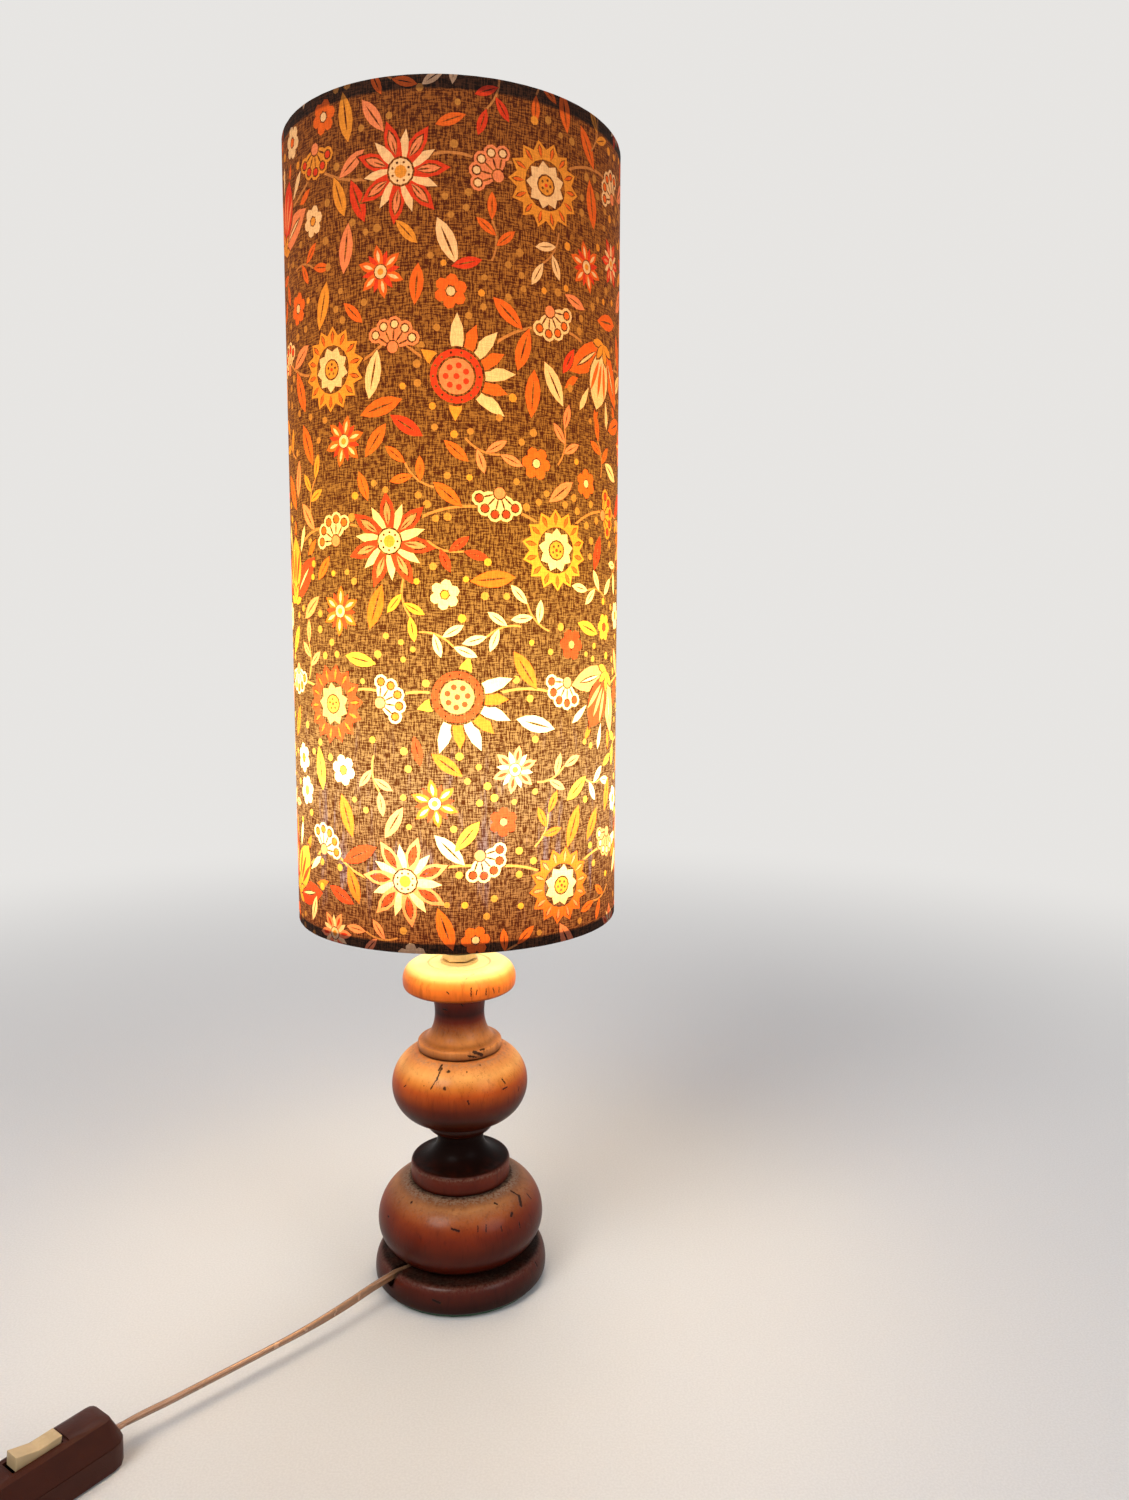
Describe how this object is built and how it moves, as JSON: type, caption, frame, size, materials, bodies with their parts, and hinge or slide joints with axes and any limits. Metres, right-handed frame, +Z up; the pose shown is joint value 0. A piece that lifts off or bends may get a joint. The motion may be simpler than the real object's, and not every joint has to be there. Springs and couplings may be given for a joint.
{
  "type": "table lamp",
  "caption": "Table lamp with a stack of turned wooden balls and collars, a tall cylindrical printed cloth shade, a screw-cap bulb, an in-line rocker switch and a coiled lead with a plug.",
  "frame": {"origin": "centre of the felt's underside, on the table", "axes": "+Z up along the lamp's turning axis; -Y is the side that the picture shows; the lead leaves towards -X -Y"},
  "size_m": [0.3923, 0.3697, 0.6333],
  "materials": {
    "felt": "dark green felt",
    "wood": "turned, stained reddish brown and lacquered, worn and cracked in places",
    "steel": "plain zinc-plated steel",
    "brass": "plain brass",
    "bakelite": "black moulded plastic",
    "ceramic": "unglazed white ceramic",
    "opal": "soft white frosted glass",
    "bulb_metal": "rolled aluminium",
    "black_glass": "black glass insulator",
    "shade_cloth": "dark brown cotton printed with cream, ochre and orange flowers",
    "liner": "translucent white styrene sheet",
    "white_wire": "white coated steel wire",
    "brown_plastic": "dark brown moulded plastic, finely textured",
    "cream_plastic": "cream moulded plastic",
    "gold_flex": "copper gold flexible sheath",
    "black_plastic": "black plastic band"
  },
  "bodies": {
    "lamp": {"felt_pad": "felt", "base_plinth": "wood", "foot_screw_1": "steel", "foot_screw_2": "steel", "foot_screw_3": "steel", "lower_ball": "wood", "lower_neck": "wood", "upper_ball": "wood", "upper_neck": "wood", "top_cap": "wood", "threaded_tube": "steel", "lower_washer": "steel", "lower_nut": "steel", "upper_washer": "steel", "upper_nut": "steel", "inner_cord": "gold_flex", "holder_cap": "bakelite", "holder_body": "bakelite", "holder_insert": "ceramic", "holder_shell": "brass", "holder_contact": "brass", "holder_screw_1": "brass", "holder_screw_2": "brass", "shade_ring_nut": "bakelite", "shade_fitter": "white_wire", "shade_arm_1": "white_wire", "shade_arm_2": "white_wire", "shade_arm_3": "white_wire", "shade_bottom_wire": "white_wire", "shade_top_wire": "white_wire", "shade_liner": "liner", "shade_cloth": "shade_cloth", "switch_lower_case": "brown_plastic", "switch_upper_case": "brown_plastic", "rocker_pin": "steel", "switch_terminal_lamp": "brass", "switch_terminal_common": "brass", "switch_terminal_lamp_screw": "brass", "switch_terminal_common_screw": "brass", "switch_case_screw_1": "steel", "switch_case_screw_2": "steel", "cord_clamp_lamp": "cream_plastic", "cord_clamp_mains": "cream_plastic", "cord_lamp_to_switch": "gold_flex", "cord_switch_to_coil": "gold_flex", "cord_coil": "gold_flex", "cord_coil_to_plug": "gold_flex", "coil_tie": "black_plastic", "plug_body": "brown_plastic", "plug_pin_left": "brass", "plug_pin_right": "brass"},
    "rocker": {"switch_rocker": "cream_plastic", "contact_bridge": "brass"},
    "bulb_lift": {"bulb_tip": "bulb_metal"},
    "bulb": {"bulb_glass": "opal", "bulb_cap": "bulb_metal", "bulb_insulator": "black_glass", "bulb_stem": "opal", "bulb_filament": "steel"}
  },
  "joints": [
    {"name": "rocker_tilt", "type": "hinge", "parent": "lamp", "child": "rocker", "pos_m": [-0.16854, -0.17993, 0.0212], "axis": [0.8161, -0.5779, 0], "range_deg": [0, 14]},
    {"name": "bulb_rise", "type": "slide", "parent": "lamp", "child": "bulb_lift", "axis": [0, 0, 1], "range_m": [0, 0.0145]},
    {"name": "bulb_turn", "type": "hinge", "parent": "bulb_lift", "child": "bulb", "pos_m": [0, 0, 0.24], "axis": [0, 0, 1], "range_deg": [0, 1440]}
  ],
  "couplings": [
    {"joint": "bulb_turn", "follows": "bulb_rise", "rad_per_m": 1731.4}
  ]
}
